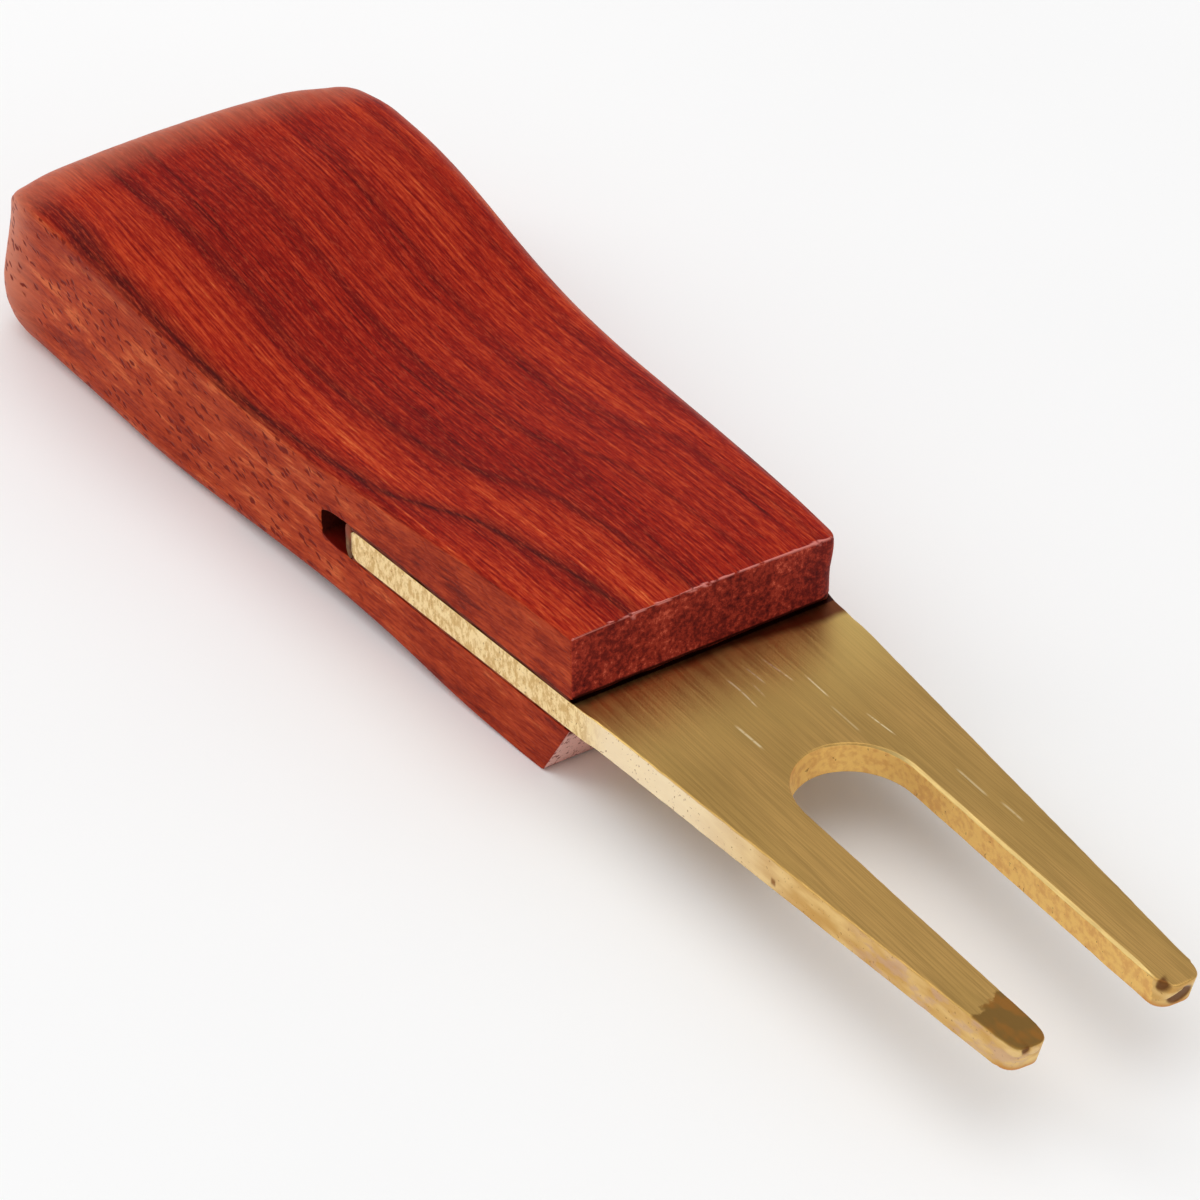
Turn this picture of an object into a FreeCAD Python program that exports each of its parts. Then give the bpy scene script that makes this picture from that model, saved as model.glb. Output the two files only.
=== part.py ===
import FreeCAD, Part

# Divot repair tool: a sanded hardwood handle with a saw kerf in its front end, and a two-pronged
# brass fork whose tang is bonded into that kerf with epoxy. Nothing on it moves.
# Frame: +X runs from the butt of the handle to the prong tips, +Z is up, and the tool is the same
# either side of the XZ plane. The origin is the middle of the tool's box, on the surface it lies on.

import math
import os

# Driving dimensions, in millimetres.
TOOL_LENGTH = 117.4
FORK_REACH = 43.9           # prong tips to the handle's front face
FRONT_WIDTH = 21.7          # handle and blade where the blade leaves the wood
SIDE_TAPER = 0.082          # loss of half width per millimetre towards the tips
BLADE_THICKNESS = 2.4
BLADE_TOP = 7.7             # height of the blade's upper face above the resting surface
TANG_LENGTH = 25.1          # blade inside the wood
KERF_LENGTH = 28.7          # saw cut, a little longer than the tang
GLUE_ABOVE = 0.25
GLUE_BELOW = 0.20
GLUE_RECESS = 0.3           # glue stops this far inside the lips
BEAD_LENGTH = 0.5           # squeezed-out glue behind the tang
KERF_CORNER = 0.7

# Handle, seen from the side.
SADDLE_HEIGHT = 11.0        # lowest stretch of the top, where the thumb lies
LIP_RISE = 2.15             # from the saddle up to the front lip
BUTT_RISE = 2.5             # from the saddle up to the thick butt
SADDLE_BEHIND_FRONT = 36.5
BUTT_SLOPE_LENGTH = 25.0
ARCH_HEIGHT = 0.9           # hollow of the underside between its two feet
ARCH_BEHIND_FRONT = 2.6
ARCH_LENGTH = 47.5
FOOT_TRIM = 0.15            # sanded off the underside to leave two flat feet
LOWER_LIP_SETBACK = 0.3     # lower lip behind the upper one, at the kerf
LOWER_LIP_SLANT = 30.0      # degrees from upright

# Handle, seen from above.
SIDE_BOW = 1.25             # how far the straight side curves in by the butt
BOW_LENGTH = 25.0

# Rounding of the handle's edges, at its front and at its butt.
TOP_EDGE_RADII = (0.4, 2.0)
LOWER_EDGE_RADII = (0.4, 2.2)
BUTT_DEPTH = 4.5            # length over which the butt end rounds over
BUTT_INSETS = {"side": 1.75, "top": 4.6, "bottom": 2.3}
BUTT_STEPS = 6
BODY_STEPS = 11

# Fork.
PRONG_GAP = 8.5
SLOT_DEPTH = 30.9           # bottom of the slot to the tips
SLOT_BOTTOM_LENGTH = 4.95   # the slot's rounded bottom, along the tool
TIP_RADIUS = 1.1
SHOULDER_STEP = 0.05        # the fork's edges are dressed this much inside the tang's
SHOULDER_BEYOND_FRONT = 2.3
FORK_EDGE_RADIUS = 0.45

TIP_X = TOOL_LENGTH / 2
BUTT_X = -TIP_X
FRONT_X = TIP_X - FORK_REACH
SADDLE_X = FRONT_X - SADDLE_BEHIND_FRONT
TANG_X = FRONT_X - TANG_LENGTH
KERF_X = FRONT_X - KERF_LENGTH
BLADE_BOTTOM = BLADE_TOP - BLADE_THICKNESS
KERF_TOP = BLADE_TOP + GLUE_ABOVE
KERF_BOTTOM = BLADE_BOTTOM - GLUE_BELOW

OVERSIZE = 40.0             # larger than the tool in any cut across it
CLEARANCE = 1.0             # how far a cut runs past what it cuts
TOLERANCE = 0.01            # two positions closer than this are the same
LAST_STATION = 0.999        # the butt's last section, just short of where its quarter circle turns upright


def point(x, y, z):
    return FreeCAD.Vector(x, y, z)


def ease(t):
    """A smooth step from 0 to 1."""
    t = min(max(t, 0.0), 1.0)
    return t * t * (3 - 2 * t)


def straight_half_width(x):
    return FRONT_WIDTH / 2 + SIDE_TAPER * (FRONT_X - x)


def end_rounding(x):
    """0 where the butt's rounding starts and 1 at the very end, as a quarter circle falls away."""
    reach = min(max((BUTT_X + BUTT_DEPTH - x) / BUTT_DEPTH, 0.0), 1.0)
    return 1 - math.sqrt(1 - reach * reach)


def handle_half_width(x):
    bow_start = BUTT_X + BOW_LENGTH
    bow = SIDE_BOW * (max(bow_start - x, 0.0) / BOW_LENGTH) ** 2
    return straight_half_width(x) - bow - BUTT_INSETS["side"] * end_rounding(x)


def handle_top(x):
    lip = LIP_RISE * ease((x - SADDLE_X) / SADDLE_BEHIND_FRONT)
    butt = BUTT_RISE * ease((SADDLE_X - x) / BUTT_SLOPE_LENGTH)
    return SADDLE_HEIGHT + lip + butt - BUTT_INSETS["top"] * end_rounding(x)


def handle_bottom(x):
    along = (FRONT_X - ARCH_BEHIND_FRONT - x) / ARCH_LENGTH
    arch = math.sin(math.pi * min(max(along, 0.0), 1.0)) ** 2
    return (ARCH_HEIGHT + FOOT_TRIM) * arch - FOOT_TRIM + BUTT_INSETS["bottom"] * end_rounding(x)


def edge_radius(radii, x):
    front, butt = radii
    return front + (butt - front) * ease((FRONT_X - x) / (FRONT_X - BUTT_X))


def arc(centre_y, centre_z, radius, from_degrees, x):
    """A quarter circle in the plane at x, turning anticlockwise as seen from the tips."""
    corners = []
    for degrees in (from_degrees, from_degrees + 45, from_degrees + 90):
        angle = math.radians(degrees)
        corners.append(point(x, centre_y + radius * math.cos(angle), centre_z + radius * math.sin(angle)))
    return Part.Arc(*corners).toShape()


def handle_section(x):
    """The handle's outline across the grain at x: a rectangle with rounded corners."""
    half, top, bottom = handle_half_width(x), handle_top(x), handle_bottom(x)
    upper = edge_radius(TOP_EDGE_RADII, x)
    lower = edge_radius(LOWER_EDGE_RADII, x)
    corners = [
        arc(half - upper, top - upper, upper, 0, x),
        arc(-half + upper, top - upper, upper, 90, x),
        arc(-half + lower, bottom + lower, lower, 180, x),
        arc(half - lower, bottom + lower, lower, 270, x),
    ]
    edges = []
    for corner, following in zip(corners, corners[1:] + corners[:1]):
        edges.append(corner)
        edges.append(Part.makeLine(corner.Vertexes[-1].Point, following.Vertexes[0].Point))
    return Part.Wire(edges)


def handle_blank():
    """The sanded wood before its front end is cut."""
    body_start = FRONT_X + CLEARANCE
    body_end = BUTT_X + BUTT_DEPTH
    stations = [body_start + (body_end - body_start) * i / BODY_STEPS for i in range(BODY_STEPS)]
    for i in range(BUTT_STEPS):
        angle = math.pi / 2 * i / (BUTT_STEPS - 1)
        stations.append(body_end - BUTT_DEPTH * LAST_STATION * math.sin(angle))
    blank = Part.makeLoft([handle_section(x) for x in stations], True, False)
    return blank.common(slab(-TOOL_LENGTH, TOOL_LENGTH, 0, OVERSIZE))


def front_waste():
    """What is cut off in front of the lips: upright above the kerf, slanting back below it."""
    slant = math.tan(math.radians(LOWER_LIP_SLANT))
    kerf_middle = (KERF_TOP + KERF_BOTTOM) / 2
    lower_lip_x = FRONT_X - LOWER_LIP_SETBACK
    outline = [
        point(FRONT_X, 0, OVERSIZE),
        point(FRONT_X, 0, kerf_middle),
        point(lower_lip_x, 0, kerf_middle),
        point(lower_lip_x, 0, KERF_BOTTOM),
        point(lower_lip_x - slant * (KERF_BOTTOM + CLEARANCE), 0, -CLEARANCE),
        point(TOOL_LENGTH, 0, -CLEARANCE),
        point(TOOL_LENGTH, 0, OVERSIZE),
    ]
    return across_tool(outline)


def across_tool(outline):
    """A closed outline in the XZ plane, extruded right through the tool's width."""
    wire = Part.makePolygon(outline + outline[:1])
    wire.translate(point(0, -OVERSIZE / 2, 0))
    return Part.Face(wire).extrude(point(0, OVERSIZE, 0))


def slab(from_x, to_x, bottom, top):
    """A box across the whole tool between two stations and two heights."""
    return Part.makeBox(to_x - from_x, OVERSIZE, top - bottom, point(from_x, -OVERSIZE / 2, bottom))


def kerf():
    cut = slab(KERF_X, TIP_X, KERF_BOTTOM, KERF_TOP)
    end_corners = [
        e for e in cut.Edges
        if e.BoundBox.XMax < KERF_X + TOLERANCE and e.BoundBox.ZLength < TOLERANCE
    ]
    return cut.makeFillet(KERF_CORNER, end_corners)


def make_handle(blank):
    return blank.cut(front_waste()).cut(kerf())


def plan_prism(outline):
    """A flat-sided outline given by (x, y) corners, as thick as the blade."""
    corners = [point(x, y, BLADE_BOTTOM) for x, y in outline]
    face = Part.Face(Part.makePolygon(corners + corners[:1]))
    return face.extrude(point(0, 0, BLADE_THICKNESS))


def tapered_prism(from_x, to_x, inset):
    outline = [
        (from_x, straight_half_width(from_x) - inset),
        (to_x, straight_half_width(to_x) - inset),
        (to_x, inset - straight_half_width(to_x)),
        (from_x, inset - straight_half_width(from_x)),
    ]
    return plan_prism(outline)


def fork_slot():
    """The gap between the prongs: straight sides with a half ellipse at the bottom."""
    bottom_x = TIP_X - SLOT_DEPTH
    centre_x = bottom_x + SLOT_BOTTOM_LENGTH
    floor = BLADE_BOTTOM - CLEARANCE
    height = BLADE_THICKNESS + 2 * CLEARANCE
    oval = Part.Ellipse(point(centre_x, 0, floor), SLOT_BOTTOM_LENGTH, PRONG_GAP / 2)
    rounded = Part.Face(Part.Wire(oval.toShape())).extrude(point(0, 0, height))
    straight = Part.makeBox(TIP_X - centre_x + CLEARANCE, PRONG_GAP, height,
                            point(centre_x, -PRONG_GAP / 2, floor))
    return rounded.fuse(straight).removeSplitter()


def upright_edges_at(shape, x):
    return [
        e for e in shape.Edges
        if abs(e.BoundBox.XMin - x) < TOLERANCE
        and e.BoundBox.XLength < TOLERANCE
        and e.BoundBox.YLength < TOLERANCE
    ]


def flat_edges_beyond(shape, x):
    return [e for e in shape.Edges if e.BoundBox.XMin > x and e.BoundBox.ZLength < TOLERANCE]


def make_fork_blade():
    shoulder_x = FRONT_X + SHOULDER_BEYOND_FRONT
    tang = tapered_prism(TANG_X, shoulder_x, 0.0)
    fork = tapered_prism(shoulder_x, TIP_X, SHOULDER_STEP).cut(fork_slot())
    fork = fork.makeFillet(TIP_RADIUS, upright_edges_at(fork, TIP_X))
    fork = fork.makeFillet(FORK_EDGE_RADIUS, flat_edges_beyond(fork, shoulder_x + TOLERANCE))
    return tang.fuse(fork)


def glue_layer(blank, from_x, to_x, bottom, top):
    """Cured epoxy that fills one gap of the kerf out to the handle's sanded sides."""
    return slab(from_x, to_x, bottom, top).common(blank)


def make_pieces():
    blank = handle_blank()
    lower_front = FRONT_X - LOWER_LIP_SETBACK - GLUE_RECESS
    return {
        "handle": make_handle(blank),
        "fork_blade": make_fork_blade(),
        "upper_glue_line": glue_layer(blank, TANG_X, FRONT_X - GLUE_RECESS, BLADE_TOP, KERF_TOP),
        "lower_glue_line": glue_layer(blank, TANG_X, lower_front, KERF_BOTTOM, BLADE_BOTTOM),
        "rear_glue_bead": glue_layer(blank, TANG_X - BEAD_LENGTH, TANG_X, KERF_BOTTOM, KERF_TOP),
    }


os.makedirs("parts", exist_ok=True)
for name, shape in make_pieces().items():
    shape.exportStep(f"parts/{name}.step")
    print(f"{name}: valid {shape.isValid()}, solids {len(shape.Solids)}, volume {shape.Volume:.1f} mm3")
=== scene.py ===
# Looks of the divot repair tool: a sanded padauk handle with a saw kerf, a brass fork bonded into
# it and the glue around the tang. Lengths in this file are millimetres unless a name ends in _m.
# +X runs to the prong tips, +Z is up, and the side at -Y is the near side.

import math

import bmesh
import bpy
import numpy as np
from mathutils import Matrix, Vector, geometry, noise


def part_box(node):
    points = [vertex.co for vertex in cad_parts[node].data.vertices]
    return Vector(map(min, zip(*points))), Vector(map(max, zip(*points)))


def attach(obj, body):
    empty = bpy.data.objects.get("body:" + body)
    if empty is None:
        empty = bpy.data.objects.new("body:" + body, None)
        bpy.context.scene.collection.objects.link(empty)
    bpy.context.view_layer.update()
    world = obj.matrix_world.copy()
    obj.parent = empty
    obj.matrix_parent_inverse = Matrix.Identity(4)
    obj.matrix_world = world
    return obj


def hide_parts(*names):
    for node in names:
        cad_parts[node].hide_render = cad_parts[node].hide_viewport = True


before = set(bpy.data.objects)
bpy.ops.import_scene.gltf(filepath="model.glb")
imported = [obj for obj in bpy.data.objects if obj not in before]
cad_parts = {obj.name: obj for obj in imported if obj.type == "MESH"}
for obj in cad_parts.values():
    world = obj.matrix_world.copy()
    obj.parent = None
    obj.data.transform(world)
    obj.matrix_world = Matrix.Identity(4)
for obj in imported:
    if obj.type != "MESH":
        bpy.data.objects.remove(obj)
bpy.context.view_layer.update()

MM = 0.001
scene = bpy.context.scene


def box_mm(node):
    low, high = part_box(node)
    return Vector(low) / MM, Vector(high) / MM


# ---- Sizes taken from the CAD nodes ----

handle_low, handle_high = box_mm("handle")
blade_low, blade_high = box_mm("fork_blade")
BUTT_X, FRONT_X = handle_low.x, handle_high.x
TANG_X, TIP_X = blade_low.x, blade_high.x
BLADE_BOTTOM, BLADE_TOP = blade_low.z, blade_high.z
bead_low, bead_high = box_mm("rear_glue_bead")
KERF_BOTTOM, KERF_TOP = bead_low.z, bead_high.z
KERF_BEHIND_TANG = 3.6
KERF_X = TANG_X - KERF_BEHIND_TANG

# Shape of the handle, as in the CAD apart from the top radii, which the photo shows unequal.
FRONT_WIDTH = 21.7
SIDE_TAPER = 0.082
SADDLE_HEIGHT = 11.0
LIP_RISE = 2.15
BUTT_RISE = 2.5
SADDLE_BEHIND_FRONT = 36.5
SADDLE_X = FRONT_X - SADDLE_BEHIND_FRONT
BUTT_SLOPE_LENGTH = 25.0
ARCH_HEIGHT = 0.9
ARCH_BEHIND_FRONT = 2.6
ARCH_LENGTH = 47.5
FOOT_TRIM = 0.15
LOWER_LIP_SETBACK = 0.3
LOWER_LIP_SLANT = math.radians(30.0)
SIDE_BOW = 1.25
BOW_LENGTH = 25.0
NEAR_TOP_RADII = (0.35, 0.8)
FAR_TOP_RADII = (0.8, 1.9)
LOWER_EDGE_RADII = (0.4, 2.2)
BUTT_DEPTH = 4.5
BUTT_INSETS = {"side": 1.75, "top": 4.6, "bottom": 2.3}

# The saw cut grows shallow towards the kerf's rear end, where its wall is ragged.
KERF_END_LENGTH = 2.4
KERF_END_TOP_DROP = 0.75
KERF_END_FLOOR_RISE = 0.55
KERF_END_TEAR = 0.26

# What hand sanding left uneven.
CROWN = 0.24
END_BOW = 1.0
END_SWELL = 0.2
END_BOW_LENGTH = 16.0
FAR_INSET = 0.35
FAR_INSET_BEHIND_FRONT = 17.0
FAR_INSET_LENGTH = 45.0
NEAR_CORNER_DROP = 0.42
FAR_CORNER_DROP = 0.75
CORNER_BULGE = 0.72
NEAR_CORNER_CUT = 0.4
FAR_CORNER_CUT = 0.7
CORNER_DROP_LENGTH = 9.0
NEAR_CORNER_LENGTH = 7.0
FAR_CORNER_LENGTH = 8.0
LOW_HOLLOW, LOW_HOLLOW_X = 0.13, -44.0
LOW_SWELL, LOW_SWELL_X = 0.16, 2.0
LOW_WAVE_LENGTH = 6.0

# Shape of the fork.
PRONG_GAP = 8.5
SLOT_DEPTH = 30.9
SLOT_BOTTOM_LENGTH = 4.95
SLOT_SHIFT = -0.1
TIP_RADIUS = 1.1
NEAR_PRONG_SHORT = 0.45
FORK_EDGE_RADIUS = 0.16
SLOT_BEVEL = 0.09
TIP_REACH = 2.4
TIP_UNDERCUT = 0.84
TIP_SKEW = 0.11
FORK_TRIM = 0.09
SHOULDER_BEYOND_FRONT = 2.3
SHOULDER_INSET = 0.35
TANG_END_LENGTH, TANG_END_DROP, TANG_END_RISE = 0.7, 0.3, 0.6

UP, DOWN = (0, 0, 1), (0, 0, -1)


def ease(t):
    t = np.clip(t, 0.0, 1.0)
    return t * t * (3 - 2 * t)


def straight_half(x):
    return FRONT_WIDTH / 2 + SIDE_TAPER * (FRONT_X - x)


def round_off(distance, depth):
    """How far a quarter round of this depth stands back, 0 to 1, at a distance from its end."""
    reach = np.clip((depth - distance) / depth, 0.0, 1.0)
    return 1 - np.sqrt(1 - reach * reach)


def end_rounding(x):
    return round_off(x - BUTT_X, BUTT_DEPTH)


def near_half(x):
    bow = SIDE_BOW * (np.maximum(BUTT_X + BOW_LENGTH - x, 0.0) / BOW_LENGTH) ** 2
    return straight_half(x) - bow - BUTT_INSETS["side"] * end_rounding(x)


def far_half(x):
    behind = FRONT_X - FAR_INSET_BEHIND_FRONT - x
    return near_half(x) - FAR_INSET * ease(behind / FAR_INSET_LENGTH)


def half_width(x, y):
    return np.where(y < 0, near_half(x), far_half(x))


def top_height(x):
    lip = LIP_RISE * ease((x - SADDLE_X) / SADDLE_BEHIND_FRONT)
    butt = BUTT_RISE * ease((SADDLE_X - x) / BUTT_SLOPE_LENGTH)
    return SADDLE_HEIGHT + lip + butt - BUTT_INSETS["top"] * end_rounding(x)


def bottom_height(x):
    along = np.clip((FRONT_X - ARCH_BEHIND_FRONT - x) / ARCH_LENGTH, 0.0, 1.0)
    arch = np.sin(np.pi * along) ** 2
    arch = (ARCH_HEIGHT + FOOT_TRIM) * arch - FOOT_TRIM
    return arch + BUTT_INSETS["bottom"] * end_rounding(x)


def crown(y, half):
    """How far the sanded top stands above its mean height."""
    return CROWN * (1 - (y / half) ** 2) - CROWN * 0.5


def edge_radius(radii, x):
    front, butt = radii
    return front + (butt - front) * ease((FRONT_X - x) / (FRONT_X - BUTT_X))


def far_corner_radius(z):
    """The upright corner at the far end of the upper lip, rounder towards the blade."""
    return 1.0 + 0.6 * ease((12.0 - z) / 2.5)


def lower_front_x(z):
    """The slanting end face of the lower lip."""
    return FRONT_X - LOWER_LIP_SETBACK - math.tan(LOWER_LIP_SLANT) * (KERF_BOTTOM - z)


# ---- Mesh helpers ----

WELDS_PER_MM = 2000


def smooth_noise(points, scale, seed=0.0):
    """Perlin noise, -1 to 1, at each row of points; scale is cycles per millimetre by axis."""
    moved = np.asarray(points, float) * np.asarray(scale, float) + seed
    return np.array([noise.noise(p) for p in moved.tolist()])


class Patches:
    """Collects grids of points that share their borders, and welds them into one mesh."""

    def __init__(self):
        self.points, self.faces, self.count = [], [], 0

    def grid(self, points, flip=False):
        rows, columns = points.shape[:2]
        index = np.arange(rows * columns).reshape(rows, columns)
        quads = np.stack([index[:-1, :-1], index[:-1, 1:], index[1:, 1:], index[1:, :-1]], -1)
        quads = quads.reshape(-1, 4)
        self.add(points.reshape(-1, 3), quads[:, ::-1] if flip else quads)

    def add(self, points, faces):
        self.points.append(points)
        self.faces.extend((faces + self.count).tolist())
        self.count += len(points)

    def weld(self):
        points = np.concatenate(self.points)
        keys = np.round(points * WELDS_PER_MM).astype(np.int64)
        first, inverse = np.unique(keys, axis=0, return_index=True, return_inverse=True)[1:]
        inverse = inverse.reshape(-1).tolist()
        faces = [list(dict.fromkeys(inverse[i] for i in face)) for face in self.faces]
        return points[first], [face for face in faces if len(face) > 2]


def coons(top, bottom, left, right):
    """Fills a frame of four lines; top and bottom run left to right, left and right run down."""
    t = np.linspace(0, 1, len(left))[:, None, None]
    s = arc_share(top)[None, :, None] * (1 - t) + arc_share(bottom)[None, :, None] * t
    t = arc_share(left)[:, None, None] * (1 - s) + arc_share(right)[:, None, None] * s
    across = (1 - t) * top[None] + t * bottom[None]
    down = (1 - s) * left[:, None] + s * right[:, None]
    corners = ((1 - s) * (1 - t) * top[0] + s * (1 - t) * top[-1]
               + (1 - s) * t * bottom[0] + s * t * bottom[-1])
    filled = across + down - corners
    filled[0], filled[-1], filled[:, 0], filled[:, -1] = top, bottom, left, right
    return filled


def arc_share(line):
    steps = np.linalg.norm(np.diff(line, axis=0), axis=1)
    total = np.append(0.0, np.cumsum(steps))
    return total / total[-1]


def vertex_normals(points, faces):
    normals = np.zeros_like(points)
    for size in (3, 4):
        some = np.array([f for f in faces if len(f) == size])
        if len(some) == 0:
            continue
        cross = np.cross(points[some[:, 2]] - points[some[:, 0]],
                         points[some[:, size - 1]] - points[some[:, 1]])
        for corner in range(size):
            np.add.at(normals, some[:, corner], cross)
    return normals / np.maximum(np.linalg.norm(normals, axis=1, keepdims=True), 1e-9)


def face_outward(mesh):
    """Turns the front of every face to the outside of its closed shell."""
    shell = bmesh.new()
    shell.from_mesh(mesh)
    bmesh.ops.recalc_face_normals(shell, faces=shell.faces)
    shell.to_mesh(mesh)
    shell.free()


def make_object(name, points, faces, material, attributes=None):
    mesh = bpy.data.meshes.new(name)
    mesh.from_pydata((points * MM).tolist(), [], faces)
    face_outward(mesh)
    mesh.update()
    mesh.polygons.foreach_set("use_smooth", [True] * len(mesh.polygons))
    for key, values in (attributes or {}).items():
        layer = mesh.attributes.new(key, "FLOAT", "POINT")
        layer.data.foreach_set("value", np.asarray(values, np.float32))
    mesh.materials.append(material)
    mesh.validate()
    return link(name, mesh)


def link(name, data):
    thing = bpy.data.objects.new(name, data)
    scene.collection.objects.link(thing)
    return thing


def round_edge(points, one, other, radius):
    """Moves the points within radius of an edge between two surfaces on to a round of that radius.
    Each surface is given as each point's depth below it, and its outward direction."""
    (depth_a, out_a), (depth_b, out_b) = one, other
    radius = np.broadcast_to(radius, len(points))
    on = (depth_a > -0.02) & (depth_a < radius) & (depth_b > -0.02) & (depth_b < radius)
    shell = np.maximum(np.minimum(depth_a[on], depth_b[on]), 0)
    a, b = np.maximum(depth_a[on], 0) - shell, np.maximum(depth_b[on], 0) - shell
    r = radius[on] - shell
    angle = np.where(b >= a, 1 + b / r, 1 - a / r) * math.pi / 4
    new_a, new_b = r * (1 - np.sin(angle)), r * (1 - np.cos(angle))
    points[on] += np.outer(a - new_a, out_a) + np.outer(b - new_b, out_b)
    return on


# ---- Handle ----

HALF_ARC = 3
TOP_CELLS = 72
UPPER_CELLS = 15
KERF_CELLS = 8
LOWER_CELLS = 15
STATION_STEP = 0.36
FINE_STEPS = np.array([0.0, 0.05, 0.11, 0.19, 0.3])
SLANT_LENGTH = 12.0
FAR_AWAY = 99.0


def refined(start, stop, cells, fine_start=False, fine_stop=False):
    """Steps from start to stop, with a few fine ones at the one end that will be rounded."""
    steps = np.linspace(0, 1, cells + 1)
    fine = FINE_STEPS / abs(stop - start)
    eased = np.concatenate([fine, fine[-1] + (1 - fine[-1]) * np.linspace(0, 1, cells - 3)[1:]])
    if fine_start:
        steps = eased
    if fine_stop:
        steps = 1 - eased[::-1]
    return start + (stop - start) * steps


def stations():
    butt_front = BUTT_X + BUTT_DEPTH
    turn = np.linspace(math.pi / 2 * 0.985, 0, 18)
    butt = [BUTT_X + BUTT_DEPTH * (1 - math.sin(a)) for a in turn]
    body = np.linspace(butt_front, KERF_X, int((KERF_X - butt_front) / STATION_STEP))[1:]
    corner = KERF_X + KERF_END_LENGTH * (1 - np.cos(np.linspace(0, math.pi / 2, 7)))[1:]
    cells = int((FRONT_X - corner[-1]) / STATION_STEP)
    rest = refined(corner[-1], FRONT_X, cells, fine_stop=True)[1:]
    return np.concatenate([butt, body, corner, rest]), len(butt) + len(body) - 1


def kerf_edge_heights(x):
    curve = round_off(x - KERF_X, KERF_END_LENGTH) * (1 - ease((KERF_X - x) / 4.0))
    return KERF_TOP - KERF_END_TOP_DROP * curve, KERF_BOTTOM + KERF_END_FLOOR_RISE * curve


def section(x):
    """The outline at x as four sides that meet half way round the corner arcs."""
    near, far = near_half(x), far_half(x)
    top, bottom = float(top_height(x)), float(bottom_height(x))
    upper, far_upper = edge_radius(NEAR_TOP_RADII, x), edge_radius(FAR_TOP_RADII, x)
    lower = edge_radius(LOWER_EDGE_RADII, x)
    kerf_top, kerf_bottom = kerf_edge_heights(x)

    far_top = far - far_upper, top - far_upper, far_upper
    near_top = -near + upper, top - upper, upper
    near_low = -near + lower, bottom + lower, lower
    far_low = far - lower, bottom + lower, lower

    def arc(corner, start):
        y, z, radius = corner
        angles = np.radians(np.linspace(start, start + 45, HALF_ARC + 1))
        return np.stack([y + radius * np.cos(angles), z + radius * np.sin(angles)], 1)

    def side(first, start, ys, zs, last):
        line = np.stack(np.broadcast_arrays(ys, zs), 1)
        return np.concatenate([arc(first, start)[:-1], line, arc(last, start + 45)[1:]])

    def upright(radius):
        upper_z = refined(top - radius, kerf_top, UPPER_CELLS, fine_stop=True)
        middle_z = np.linspace(kerf_top, kerf_bottom, KERF_CELLS + 1)
        lower_z = refined(kerf_bottom, bottom + lower, LOWER_CELLS, fine_start=True)
        return np.concatenate([upper_z, middle_z[1:], lower_z[1:]])

    flat_top = np.linspace(far - far_upper, -near + upper, TOP_CELLS + 1)
    flat_bottom = np.linspace(-near + lower, far - lower, TOP_CELLS + 1)
    top_side = side(far_top, 45, flat_top, top, near_top)
    across = top_side[:, 0]
    top_side[:, 1] += crown(across, np.where(across < 0, near, far))
    near_side = side(near_top, 135, -near, upright(upper), near_low)
    bottom_side = side(near_low, 225, flat_bottom, bottom, far_low)
    far_side = side(far_low, 315, far, upright(far_upper)[::-1], far_top)
    near_side[0], far_side[-1] = top_side[-1], top_side[0]
    return top_side, near_side, bottom_side, far_side


def slant_lower_lip(points):
    """Leans the front of everything below the kerf back on to the lower lip's end face."""
    x, z = points[..., 0].copy(), points[..., 2]
    reach = ease((x - (FRONT_X - SLANT_LENGTH)) / SLANT_LENGTH) ** 2
    moved = x - reach * (FRONT_X - lower_front_x(z))
    points[..., 0] = moved
    points[..., 1] *= straight_half(moved) / straight_half(x)


def handle_mesh():
    xs, kerf_start = stations()
    sides = [section(x) for x in xs]

    top, near, bottom, far = (
        np.stack([np.insert(side[i], 0, x, axis=1) for x, side in zip(xs, sides)])
        for i in range(4))
    first_kerf = HALF_ARC + UPPER_CELLS
    last_kerf = first_kerf + KERF_CELLS
    far = far[:, ::-1]
    for part in (near[:, last_kerf:], far[:, last_kerf:], bottom):
        slant_lower_lip(part)
    for part in (near, bottom, far):
        part[..., 2] = np.maximum(part[..., 2], 0.0)

    patches = Patches()
    patches.grid(top, flip=True)
    patches.grid(bottom, flip=True)
    for side, flip in ((near, True), (far, False)):
        patches.grid(side[:, :first_kerf + 1], flip)
        patches.grid(side[:, last_kerf:], flip)
        patches.grid(side[:kerf_start + 1, first_kerf:last_kerf + 1], flip)

    share = (top[-1, :, 1] - top[-1, 0, 1]) / (top[-1, -1, 1] - top[-1, 0, 1])

    def across(row):
        a, b = far[kerf_start:, row, None], near[kerf_start:, row, None]
        return a + (b - a) * share[None, :, None]

    ceiling, floor = across(first_kerf), across(last_kerf)
    patches.grid(ceiling)
    patches.grid(floor, flip=True)
    depth = np.linspace(0, 1, KERF_CELLS + 1)[:, None, None]
    patches.grid(ceiling[0][None] * (1 - depth) + floor[0][None] * depth, flip=True)
    upper, lower = slice(0, first_kerf + 1), slice(last_kerf, None)
    patches.grid(coons(top[-1], ceiling[-1], far[-1, upper], near[-1, upper]), flip=True)
    patches.grid(coons(floor[-1], bottom[-1, ::-1], far[-1, lower], near[-1, lower]), flip=True)
    patches.grid(coons(top[0], bottom[0, ::-1], far[0], near[0]))
    return patches.weld()


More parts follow.
